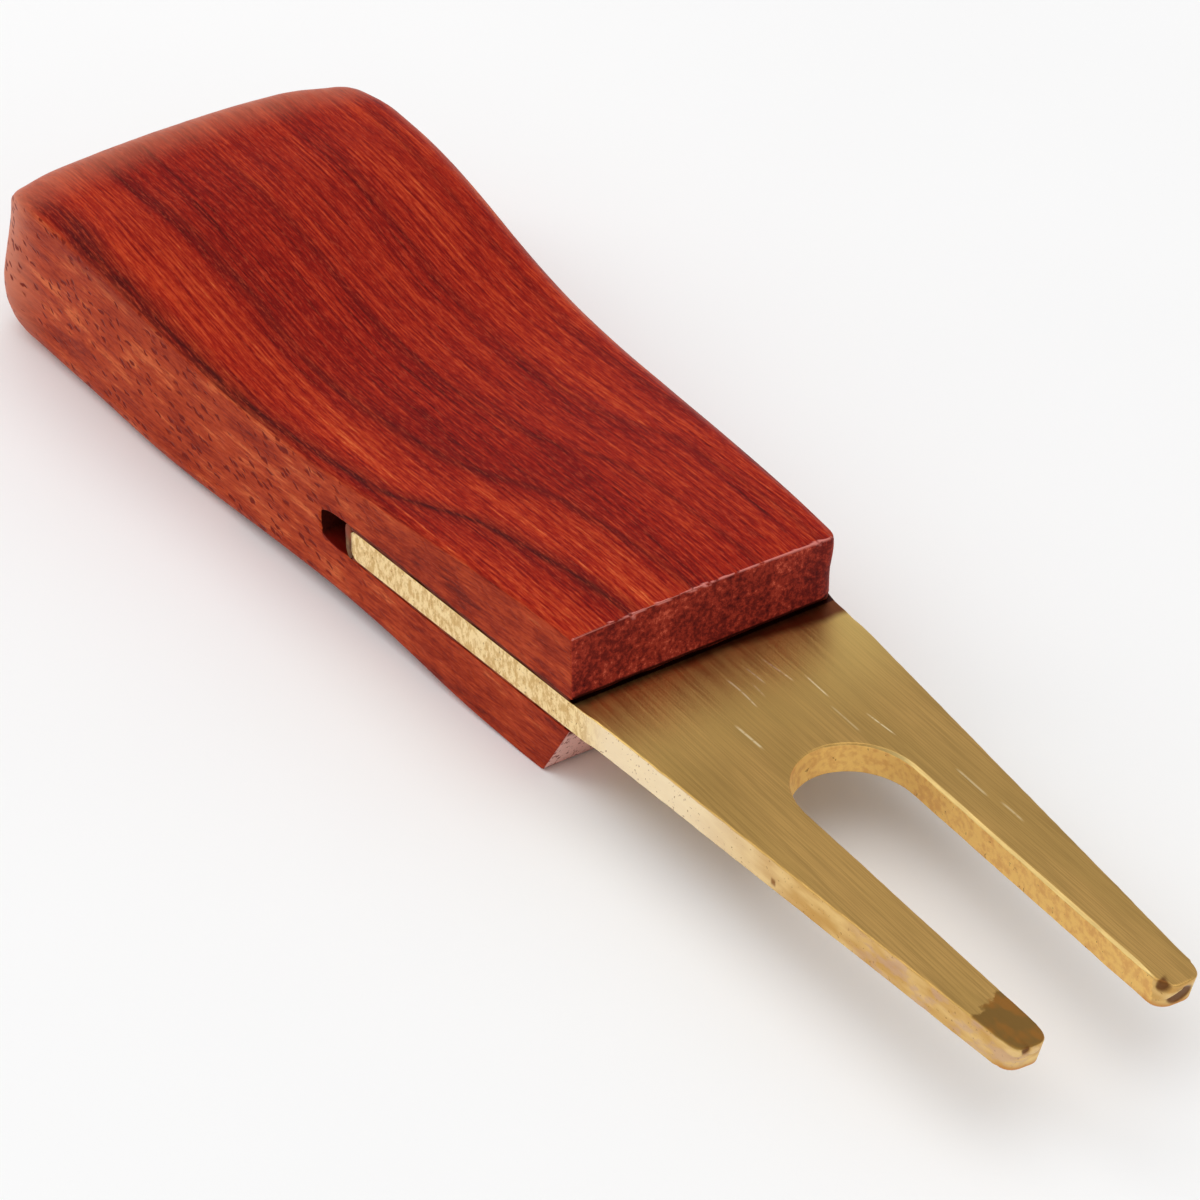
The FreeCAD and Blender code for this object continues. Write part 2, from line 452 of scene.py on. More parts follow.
def sand_by_hand(points):
    """Bows the butt end, drops its top corners and makes the near side a little wavy."""
    x, y, z = points.T.copy()
    half = half_width(x, y)
    side = np.clip(np.abs(y) / half, 0, 1)

    def at_butt(length):
        return ease((BUTT_X + length - x) / length)

    points[:, 0] += (END_BOW * side ** 2 - END_SWELL) * at_butt(END_BOW_LENGTH)
    drop = np.where(y < 0, NEAR_CORNER_DROP * ease((side - 0.7) / 0.3),
                    FAR_CORNER_DROP * ease((side - 0.55) / 0.45))
    points[:, 2] -= drop * at_butt(CORNER_DROP_LENGTH) * ease((z - 4.0) / 8.0)
    near, far = ease((-y / half - 0.8) / 0.2), ease((y / half - 0.6) / 0.4)
    bulge = CORNER_BULGE * np.exp(-((z - 4.0) / 3.0) ** 2) - NEAR_CORNER_CUT * ease((z - 7.0) / 4.5)
    points[:, 1] -= near * at_butt(NEAR_CORNER_LENGTH) * bulge
    points[:, 1] -= FAR_CORNER_CUT * far * at_butt(FAR_CORNER_LENGTH)

    def hump(middle_x):
        return np.exp(-((x - middle_x) / LOW_WAVE_LENGTH) ** 2)

    wave = LOW_HOLLOW * hump(LOW_HOLLOW_X) - LOW_SWELL * hump(LOW_SWELL_X)
    points[:, 1] += near * ease((5.0 - z) / 3.0) * wave


def ease_front_and_kerf(points):
    """Breaks the crisp edges that the saw and the file left, with chips along the upper lip.
    Returns the points on the chipped edge."""
    x, y, z = points.T
    above, below = z > KERF_TOP - 0.02, z < KERF_BOTTOM + 0.02
    in_kerf = x > KERF_X + KERF_END_LENGTH
    lean_x, lean_z = math.cos(LOWER_LIP_SLANT), -math.sin(LOWER_LIP_SLANT)
    front = np.where(above, FRONT_X - x, FAR_AWAY), (1, 0, 0)
    low_front = np.where(below, (lower_front_x(z) - x) * lean_x, FAR_AWAY), (lean_x, 0, lean_z)
    near, far = (y + near_half(x), (0, -1, 0)), (far_half(x) - y, (0, 1, 0))
    roof = np.where(above & in_kerf, z - KERF_TOP, FAR_AWAY), DOWN
    floor = np.where(below & in_kerf, KERF_BOTTOM - z, FAR_AWAY), UP
    top = top_height(x) + crown(y, half_width(x, y)) - z, UP
    chips = smooth_noise(points, (0.3, 1.1, 0.3), 3.0)
    chips += 0.6 * smooth_noise(points, (0.3, 3.1, 0.3), 7.0)
    fibres = smooth_noise(points, (0.9, 0.2, 0.2), 5.0)
    fibres = np.clip(fibres + 0.5 * smooth_noise(points, (2.7, 0.2, 0.2), 9.0), 0, 1)
    worn = round_edge(points, front, top, 0.1 + 0.24 * np.clip(chips - 0.1, 0, 1))
    round_edge(points, front, near, 0.12)
    round_edge(points, front, far, far_corner_radius(z))
    round_edge(points, front, roof, 0.12)
    for surface, ragged in ((roof, 0.16), (floor, 0.12)):
        for side in (near, far):
            round_edge(points, side, surface, 0.07 + ragged * fibres)
    round_edge(points, low_front, floor, 0.12)
    round_edge(points, low_front, near, 0.15)
    round_edge(points, low_front, far, 0.15)
    round_edge(points, low_front, (z.copy(), DOWN), 0.25)
    end_low, end_high = KERF_BOTTOM + KERF_END_FLOOR_RISE, KERF_TOP - KERF_END_TOP_DROP
    at_end = (np.abs(points[:, 0] - KERF_X) < 0.01) & (z > end_low + 0.01) & (z < end_high - 0.01)
    tear = KERF_END_TEAR * smooth_noise(points, (0.0, 0.6, 2.0), 43.0)
    points[:, 0] += np.where(at_end, tear, 0.0)
    return worn


def make_handle(material):
    points, faces = handle_mesh()
    worn = ease_front_and_kerf(points)
    sand_by_hand(points)
    normals = vertex_normals(points, faces)
    x, y, z = points.T
    inside = (x > KERF_X - 0.5) & (z > KERF_BOTTOM - 0.3) & (z < KERF_TOP + 0.3)
    outer = ~inside * ease(z / 1.5)
    sideways = np.abs(normals[:, 1])
    hand = smooth_noise(points, (0.05, 0.09, 0.09), 1.0) * 0.10
    hand += smooth_noise(points, (0.13, 0.3, 0.3), 2.0) * 0.03
    grain = smooth_noise(points, (0.12, 1.6, 1.6), 4.0) * 0.012
    calm = ease((KERF_X - x + 6.0) / 12.0) * sideways + (1 - sideways)
    points += normals * ((hand * calm + grain) * outer)[:, None]
    attributes = {
        "end_grain": ease((np.abs(normals[:, 0]) - 0.55) / 0.35),
        "side_face": ease((sideways - 0.35) / 0.5),
        "worn_edge": worn,
        "kerf_wall": inside & (sideways < 0.5),
    }
    return make_object("handle_body", points, faces, material, attributes)


# ---- Fork ----

OUTLINE_STEP = 0.3
TIP_STEP = 0.07
INSIDE_STEP = 0.7
ROUND_CELLS = 6
SIDE_CELLS = 22
INNER_OFFSET = 0.8


def fork_outline():
    """Corners of the blade in plan, anticlockwise from above, with a label for each stretch."""
    stretches = []

    def run(label, x0, y0, x1, y1):
        length = math.hypot(x1 - x0, y1 - y0)
        step = TIP_STEP if label == "tip" else OUTLINE_STEP
        t = np.linspace(0, 1, max(2, int(length / step)) + 1)[:-1]
        stretches.append((label, x0 + (x1 - x0) * t, y0 + (y1 - y0) * t))

    def turn(label, cx, cy, rx, ry, start, stop):
        length = abs(math.radians(stop - start)) * (rx + ry) / 2
        step = TIP_STEP if label == "tip" else OUTLINE_STEP * 0.7
        t = np.radians(np.linspace(start, stop, max(4, int(length / step)) + 1)[:-1])
        stretches.append((label, cx + rx * np.cos(t), cy + ry * np.sin(t)))

    shoulder = FRONT_X + SHOULDER_BEYOND_FRONT
    lean = math.degrees(math.atan(SIDE_TAPER))
    near_tip, far_tip = TIP_X - NEAR_PRONG_SHORT, TIP_X
    low_gap, high_gap = SLOT_SHIFT - PRONG_GAP / 2, SLOT_SHIFT + PRONG_GAP / 2
    slot_x = TIP_X - SLOT_DEPTH + SLOT_BOTTOM_LENGTH
    r = TIP_RADIUS
    near_outer, far_outer = straight_half(near_tip), straight_half(far_tip)
    run("rear", TANG_X, far_half(TANG_X), TANG_X, -near_half(TANG_X))
    run("tang", TANG_X, -near_half(TANG_X), shoulder, -straight_half(shoulder))
    run("edge", shoulder, -straight_half(shoulder), near_tip - r, -straight_half(near_tip - r))
    turn("tip", near_tip - r, -near_outer + r, r, r, -90 + lean, 0)
    run("tip", near_tip, -near_outer + r, near_tip, low_gap - r)
    turn("tip", near_tip - r, low_gap - r, r, r, 0, 90)
    run("slot", near_tip - r, low_gap, slot_x, low_gap)
    turn("slot", slot_x, SLOT_SHIFT, SLOT_BOTTOM_LENGTH, PRONG_GAP / 2, 270, 90)
    run("slot", slot_x, high_gap, far_tip - r, high_gap)
    turn("tip", far_tip - r, high_gap + r, r, r, -90, 0)
    run("tip", far_tip, high_gap + r, far_tip, far_outer - r)
    turn("tip", far_tip - r, far_outer - r, r, r, 0, 90 - lean)
    run("edge", far_tip - r, straight_half(far_tip - r), shoulder, straight_half(shoulder))
    xs = np.linspace(shoulder, TANG_X, int((shoulder - TANG_X) / OUTLINE_STEP) + 1)[:-1]
    stretches.append(("tang", xs, np.where(xs > FRONT_X, straight_half(xs), far_half(xs))))
    labels = np.concatenate([[label] * len(xs) for label, xs, ys in stretches])
    return np.concatenate([np.column_stack(s[1:]) for s in stretches]), labels


def outward(plan):
    """The direction in plan that points out of the outline at each of its corners."""
    def unit(v):
        return v / np.linalg.norm(v, axis=1, keepdims=True)

    tangent = unit(unit(np.roll(plan, -1, 0) - plan) + unit(plan - np.roll(plan, 1, 0)))
    return np.stack([tangent[:, 1], -tangent[:, 0]], 1)


def make_fork(material):
    plan, labels = fork_outline()
    beside_lip = np.exp(-((plan[:, 0] - FRONT_X - 0.3) / 2.2) ** 2)
    plan[:, 1] -= SHOULDER_INSET * beside_lip * (plan[:, 1] > PRONG_GAP)
    normal = outward(plan)
    x = plan[:, 0]
    round_share = ease((x - (FRONT_X + SHOULDER_BEYOND_FRONT - 1.2)) / 1.6)
    level_plan = np.column_stack([plan, 0 * x])
    wander = smooth_noise(level_plan, (0.35, 0.35, 0.0), 11.0)
    radius = 0.05 + (FORK_EDGE_RADIUS - 0.05) * round_share * (1 + 0.35 * wander)
    radius = np.where(labels == "slot", 0.12 + 0.04 * wander, radius)
    bevelled = (labels == "slot") & (plan[:, 1] > 0.5)
    bevel = SLOT_BEVEL * ease((x - 27.9) / 5.0) * ease((TIP_X - 0.9 - x) / 1.6)
    radius_top = np.where(bevelled, bevel * (1 + 0.25 * wander) + 0.12, radius)
    bite = smooth_noise(level_plan, (0.9, 0.9, 0.0), 13.0) * 0.03
    bite = np.where(np.isin(labels, ("edge", "tip", "slot")), bite, 0.0)

    corners = np.array([(TANG_X, far_half(TANG_X)), (TANG_X, -near_half(TANG_X))])
    from_corner = np.linalg.norm(plan[:, None] - corners[None], axis=2).min(1)
    inner = np.minimum(INNER_OFFSET, 0.12 + 0.3 * from_corner)

    # Each row of the skin: how far it lies inside the plan, and its height.
    top, bottom = np.full_like(x, BLADE_TOP), np.full_like(x, BLADE_BOTTOM)
    rows = [(inner, top), (radius_top + 0.04, top)]
    turn = np.arange(ROUND_CELLS + 1) / ROUND_CELLS
    for share, out, up in zip(turn, np.sin(math.pi / 2 * turn), np.cos(math.pi / 2 * turn)):
        inward, down = np.where(bevelled, 1 - share, 1 - out), np.where(bevelled, share, 1 - up)
        rows.append((radius_top * inward - bite * out, top - radius_top * down))
    for share in np.arange(1, SIDE_CELLS) / SIDE_CELLS:
        rows.append((-bite, (top - radius_top) * (1 - share) + (bottom + radius) * share))
    for out, up in zip(np.cos(math.pi / 2 * turn), np.sin(math.pi / 2 * turn)):
        rows.append((radius * (1 - out) - bite * out, bottom + radius * (1 - up)))
    rows.append((inner, bottom))
    skin = np.stack([np.column_stack([plan - normal * inset[:, None], height])
                     for inset, height in rows])
    rough = smooth_noise(skin.reshape(-1, 3), (1.4, 1.4, 1.4), 17.0).reshape(skin.shape[:2])
    rough *= 0.012
    on_edge = np.zeros(len(rows))
    on_edge[3:-2] = 1
    skin[..., :2] += normal[None] * (rough * on_edge[:, None] * (x > FRONT_X)[None])[..., None]
    skin[..., :2] -= (normal * (FORK_TRIM * round_share)[:, None])[None]

    patches = Patches()
    patches.grid(np.concatenate([skin, skin[:, :1]], 1), flip=True)
    border = skin[0, :, :2]
    keep = grid_inside(border)
    flat = [Vector(p) for p in np.concatenate([border, keep]).tolist()]
    ring = [(i, (i + 1) % len(border)) for i in range(len(border))]
    filled = geometry.delaunay_2d_cdt(flat, ring, [], 1, 1e-5)
    found, triangles = np.array([tuple(v) for v in filled[0]]), np.array(filled[2])
    found[:len(border)] = border
    level = np.ones(len(found))
    patches.add(np.column_stack([found, BLADE_TOP * level]), triangles)
    patches.add(np.column_stack([found, BLADE_BOTTOM * level]), triangles[:, ::-1])
    points, faces = patches.weld()
    dark, bright = shape_tips(points)
    round_tang_end(points)
    normals = vertex_normals(points, faces)
    px, py = points[:, 0], points[:, 1]
    in_slot = (px > TIP_X - SLOT_DEPTH - 0.3) & (px < TIP_X - 0.8)
    in_slot &= np.abs(py - SLOT_SHIFT) < PRONG_GAP / 2 + 0.25
    bevel_span = ease((px - 28.5) / 3.0) * ease((TIP_X - 0.6 - px) / 0.6)
    bevel_slope = ease((0.34 - np.abs(normals[:, 2] - 0.62)) / 0.12)
    attributes = {
        "edge_face": ease((1 - np.abs(normals[:, 2]) - 0.35) / 0.3),
        "slot_wall": in_slot,
        "top_face": ease((normals[:, 2] - 0.6) / 0.3),
        "bevel": ((py > 0) & (py < SLOT_SHIFT + PRONG_GAP / 2 + 0.6)) * bevel_span * bevel_slope,
        "tip_dark": dark,
        "tip_bright": bright,
    }
    return make_object("fork_plate", points, faces, material, attributes)


def grid_inside(border):
    """Points of a fine grid inside a closed plan outline, clear of its border."""
    step = INSIDE_STEP
    xs = np.arange(border[:, 0].min() + step, border[:, 0].max(), step)
    ys = np.arange(border[:, 1].min() + step, border[:, 1].max(), step)
    gx, gy = (g.ravel() for g in np.meshgrid(xs, ys))
    gx = gx + 0.3 * (np.round(gy / step) % 2) * step
    inside = np.zeros(len(gx), bool)
    for (x0, y0), (x1, y1) in zip(border, np.roll(border, -1, 0)):
        crosses = (y0 > gy) != (y1 > gy)
        if y0 != y1:
            inside ^= crosses & (gx < (x1 - x0) * (gy - y0) / (y1 - y0) + x0)
    grid = np.stack([gx[inside], gy[inside]], 1)
    nearest = np.linalg.norm(grid[:, None] - border[None], axis=2).min(1)
    return grid[nearest > step * 0.45]


def shape_tips(points):
    """A small unevenness of the sheet, and the prong ends as they were filed: undercut, a notch
    between two swells on the near one, a torn inner corner and a hollow under a burr on the far
    one. Returns where the metal is dark and where it is freshly bright."""
    x, y, z = points.T.copy()
    share = (z - BLADE_BOTTOM) / (BLADE_TOP - BLADE_BOTTOM)
    near_prong = y < 0
    tip = np.where(near_prong, TIP_X - NEAR_PRONG_SHORT, TIP_X)
    middle = np.where(near_prong, -1.0, 1.0) * 5.7
    reach = ease((x - (tip - TIP_REACH)) / TIP_REACH)
    inner = (y - middle) / 1.45
    low_edge, high_edge = TIP_SKEW * inner, TIP_UNDERCUT + 0.01 - 0.05 * inner
    points[:, 0] += reach ** 2 * (low_edge + (high_edge - low_edge) * share)
    at_end = ease((x - (tip - 1.2)) / 0.5)

    def spot(y0, share0, wide, tall):
        inside = 1 - ((y - y0) / wide) ** 2 - ((share - share0) / tall) ** 2
        return ease(inside / 0.6) * at_end

    notch = spot(-6.4, 1.0, 0.34, 0.28) * ease((x - (tip - 0.4)) / 0.3)
    swell = spot(-6.9, 0.8, 0.36, 0.16) + spot(-5.75, 0.8, 0.5, 0.16)
    torn = spot(4.42, 0.94, 0.34, 0.36) * ease((x - (tip - 1.0)) / 0.4)
    hollow = spot(5.6, 0.46, 1.0, 0.4)
    along = (y - 4.45) / 1.15
    burr = ease((0.15 - 0.11 * along - np.abs(share - 0.5 - 0.32 * along)) / 0.05) * at_end
    burr *= ease(along / 0.15) * ease((1.0 - along) / 0.15)
    points[:, 0] += 0.1 * swell - 0.1 * notch - 0.3 * torn - 0.12 * hollow + 0.14 * burr
    wave = smooth_noise(points, (0.07, 0.1, 0.0), 21.0) * 0.03
    points[:, 2] += wave * ease((x - FRONT_X - 4.0) / 10.0)
    dark = np.clip(notch + torn + 1.5 * hollow - 1.6 * burr, 0, 1)
    return dark, np.clip(swell + 1.2 * burr, 0, 1)


def round_tang_end(points):
    """Rounds the rear end of the tang over, more below than above."""
    share = (points[:, 2] - BLADE_BOTTOM) / (BLADE_TOP - BLADE_BOTTOM)
    curve = round_off(points[:, 0] - TANG_X, TANG_END_LENGTH)
    points[:, 2] += (TANG_END_RISE * (1 - share) - TANG_END_DROP * share) * curve


# ---- Glue ----

GLUE_RECESS = 0.07
BEAD_BEHIND_TANG, BEAD_RADIUS = 0.32, 0.42
BEAD_LUMP = 0.22


def glue_slab(name, to_x, bottom, top, material):
    """A thin cured layer whose border wanders a little inside the wood's sides."""
    columns, rows, levels = 90, 40, 4
    xs = np.linspace(TANG_X, to_x, columns)
    near, far = -near_half(xs) + GLUE_RECESS, far_half(xs) - GLUE_RECESS
    radius = far_corner_radius(top)
    far -= radius * round_off(FRONT_X - xs, radius)
    sheet = np.zeros((levels, columns, rows, 3))
    sheet[..., 0] = xs[:, None]
    sheet[..., 1] = near[:, None] + (far - near)[:, None] * np.linspace(0, 1, rows)
    sheet[..., 2] = np.linspace(bottom, top, levels)[:, None, None]
    wander = smooth_noise(sheet.reshape(-1, 3), (0.8, 0.5, 1.5), 31.0).reshape(sheet.shape[:3])
    wander *= 0.07
    sheet[:, :, 0, 1] += wander[:, :, 0]
    sheet[:, :, -1, 1] += wander[:, :, -1]
    sheet[:, -1, :, 0] += wander[:, -1, :] * 3
    patches = Patches()
    for low, high in ((sheet[0], sheet[-1]), (sheet[:, :, 0], sheet[:, :, -1]),
                      (sheet[:, -1], sheet[:, 0])):
        patches.grid(low, flip=True)
        patches.grid(high)
    points, faces = patches.weld()
    return make_object(name, points, faces, material)


def glue_bead(material):
    """The squeezed-out bead behind the tang: a lumpy strip right across the kerf."""
    length, around = 120, 20
    middle_x, middle_z = TANG_X - BEAD_BEHIND_TANG, (KERF_TOP + KERF_BOTTOM) / 2
    ys = np.linspace(-near_half(middle_x) + 0.03, far_half(middle_x) - 0.03, length)
    angles = np.linspace(0, 2 * math.pi, around + 1)
    squash = np.sign(np.sin(angles)) * np.abs(np.sin(angles)) ** 0.5
    rings = np.zeros((length, around + 1, 3))
    rings[..., 0] = middle_x + BEAD_RADIUS * np.cos(angles)
    rings[..., 1] = ys[:, None]
    rings[..., 2] = middle_z + (KERF_TOP - KERF_BOTTOM) / 2 * squash
    lumps = smooth_noise(rings.reshape(-1, 3), (1.3, 1.1, 1.3), 41.0).reshape(rings.shape[:2])
    rings[..., 0] -= BEAD_LUMP * np.clip(lumps, -0.6, 1) * (np.cos(angles) < 0.2)
    rings[:, -1] = rings[:, 0]
    patches = Patches()
    patches.grid(rings)
    points, faces = patches.weld()
    index = np.arange(len(points))
    for y in (points[:, 1].min(), points[:, 1].max()):
        end = index[np.abs(points[:, 1] - y) < 1e-4]
        order = np.argsort(np.arctan2(points[end, 2] - middle_z, points[end, 0] - middle_x))
        faces.append(end[order].tolist())
    return make_object("glue_bead", points, faces, material)


# ---- Material helpers ----

def linear_light(colour):
    """A colour as seen on screen, 0 to 255, as a shader's red, green, blue and alpha."""
    def linear(v):
        v /= 255
        return v / 12.92 if v <= 0.04045 else ((v + 0.055) / 1.055) ** 2.4
    return tuple(linear(v) for v in colour) + (1.0,)


class Signal:
    """A node's output. Arithmetic on it adds a math node to the same tree."""

    def __init__(self, graph, socket):
        self.graph, self.socket = graph, socket

    def __add__(self, other):
        return self.graph.math("ADD", self, other)

    def __sub__(self, other):
        return self.graph.math("SUBTRACT", self, other)

    def __mul__(self, other):
        return self.graph.math("MULTIPLY", self, other)

    def __truediv__(self, other):
        return self.graph.math("DIVIDE", self, other)


class Graph:
    """A short way of writing the nodes of a material or world. A value is a number, a tuple or a
    Signal, and a colour is a tuple as seen on screen, 0 to 255."""

    def __init__(self, owner, coordinates="Object", scale=1 / MM):
        owner.use_nodes = True
        self.owner, self.tree = owner, owner.node_tree
        self.place = self.vector("SCALE", self.node("TexCoord", coordinates), scale=scale)

    def put(self, socket, value):
        if isinstance(value, Signal):
            self.tree.links.new(value.socket, socket)
        elif isinstance(value, tuple) and len(value) == 3 and socket.type == "RGBA":
            socket.default_value = linear_light(value)
        else:
            socket.default_value = value

    def node(self, kind, output=0, inputs=None, **settings):
        """Adds a node, with its inputs by name or number, and returns one of its outputs."""
        node = self.tree.nodes.new("ShaderNode" + kind)
        for key, value in settings.items():
            setattr(node, key, value)
        for key, value in (inputs or {}).items():
            if value is not None:
                self.put(node.inputs[key], value)
        return Signal(self, node.outputs[output])

    def vector(self, operation, a, b=None, scale=None):
        inputs = {0: a, 1: b, "Scale": scale}
        return self.node("VectorMath", "Vector", inputs, operation=operation)

    def math(self, operation, a, b=None, clamp=False):
        return self.node("Math", 0, {0: a, 1: b}, operation=operation, use_clamp=clamp)

    def joined(self, x, y, z):
        return self.node("CombineXYZ", 0, {0: x, 1: y, 2: z})

    def parts(self, vector):
        x = self.node("SeparateXYZ", 0, {0: vector})
        return [Signal(self, socket) for socket in x.socket.node.outputs]

    def step(self, value, low, high, to_low=0.0, to_high=1.0):
        """Changes smoothly from to_low at low to to_high at high."""
        inputs = dict(enumerate((value, low, high, to_low, to_high)))
        return self.node("MapRange", 0, inputs, interpolation_type="SMOOTHSTEP")

    def fall(self, value, low, high):
        return self.step(value, low, high, 1.0, 0.0)

    def stretched(self, stretch, shift, place):
        where = self.vector("MULTIPLY", place or self.place, stretch)
        return self.vector("ADD", where, (shift,) * 3)

    def noise(self, stretch, detail=2.0, roughness=0.5, shift=0.0, place=None):
        """Noise, about 0.5, with stretch cycles per millimetre along each axis."""
        where = self.stretched(stretch, shift, place)
        return self.node("TexNoise", 0, {"Vector": where, "Scale": 1.0, "Detail": detail,
                                         "Roughness": roughness})

    def cells(self, stretch, shift=0.0, place=None):
        """Distance to the nearest of a set of scattered points, and a random colour for each."""
        where = self.stretched(stretch, shift, place)
        distance = self.node("TexVoronoi", "Distance", {"Vector": where, "Scale": 1.0})
        return distance, Signal(self, distance.socket.node.outputs["Color"])

    def ramp(self, value, stops):
        """stops: (position, grey or colour) pairs."""
        result = self.node("ValToRGB", 0, {0: value})
        line = result.socket.node.color_ramp
        line.interpolation = "EASE"
        while len(line.elements) < len(stops):
            line.elements.new(0.5)
        for element, (position, colour) in zip(line.elements, stops):
            element.position = position
            grey = isinstance(colour, float)
            element.color = (colour, colour, colour, 1) if grey else linear_light(colour)
        return result

    def mix(self, share, a, b):
        return self.node("Mix", 2, {0: share, 6: a, 7: b}, data_type="RGBA")

    def attribute(self, name):
        return self.node("Attribute", "Fac", attribute_name=name)

    def bump(self, height, distance, strength):
        return self.node("Bump", 0, {"Strength": strength, "Distance": distance * MM,
                                     "Height": height})

    def finish(self, **inputs):
        """Sets inputs of the material's own shader, and returns the material."""
        for name, value in inputs.items():
            self.put(self.tree.nodes["Principled BSDF"].inputs[name.replace("_", " ")], value)
        return self.owner


# ---- Materials ----

TOP_TONES = [(0.0, (90, 9, 7)), (0.28, (128, 18, 11)), (0.5, (156, 33, 16)),
             (0.72, (184, 58, 27)), (1.0, (218, 102, 54))]
SIDE_TONES = [(0.0, (106, 26, 14)), (0.3, (144, 43, 20)), (0.6, (172, 62, 30)),
              (1.0, (210, 104, 60))]
END_TONES = [(0.0, (60, 16, 20)), (0.35, (106, 32, 28)), (0.65, (150, 50, 38)),
             (1.0, (206, 92, 70))]
# Painted sheen: the pale highlight where the top rounds over the butt.
BUTT_PAINTED_SHEEN = (198, 116, 90)
VEIN_BROWN = (52, 10, 12)
FIBRE_DUST = (206, 82, 50)
FIBRE_GAP = (96, 10, 9)
TORN_PINK = (226, 138, 128)
# Painted reflection of the pale floor on the slanted end face of the lower lip.
LOWER_LIP_REFLECTION = (232, 188, 178)
PORE = (112, 24, 12)
SIDE_BAND = (116, 20, 16)
# Painted sheen: the pale, hazy highlight on the sides by the butt.
CORNER_PAINTED_SHEEN = (228, 164, 136)
# Painted shade inside the kerf: near black on walls and roof, a lighter dark red on its floor.
KERF_SHADE = (44, 10, 6)
KERF_FLOOR_SHADE = (92, 14, 8)

VEIN_TILT = 0.5

# The figure of the wood across its growth rings: a ring, and how light or veined it is.
RING_FIRST, RING_SPAN = -3.0, 7.0
RING_TONES = (
    (-2.6, 0.55), (-1.7, 0.52), (-1.1, 0.38), (-0.85, 0.52), (-0.4, 0.56), (-0.05, 0.34),
    (0.4, 0.28), (0.9, 0.36), (1.3, 0.44), (1.9, 0.36), (2.3, 0.5), (2.8, 0.42), (3.3, 0.58),
)
RING_VEINS = (
    (-2.2, 0.0), (-1.35, 0.12), (-1.10, 0.3), (-1.0, 0.95), (-0.93, 0.45), (-0.75, 0.05),
    (-0.15, 0.15), (0.0, 0.6), (0.08, 0.2), (0.5, 0.08), (0.92, 0.12), (1.0, 0.45), (1.08, 0.1),
    (1.9, 0.12), (2.0, 0.4), (2.1, 0.08), (2.75, 0.1), (2.83, 0.35), (2.95, 0.05),
)


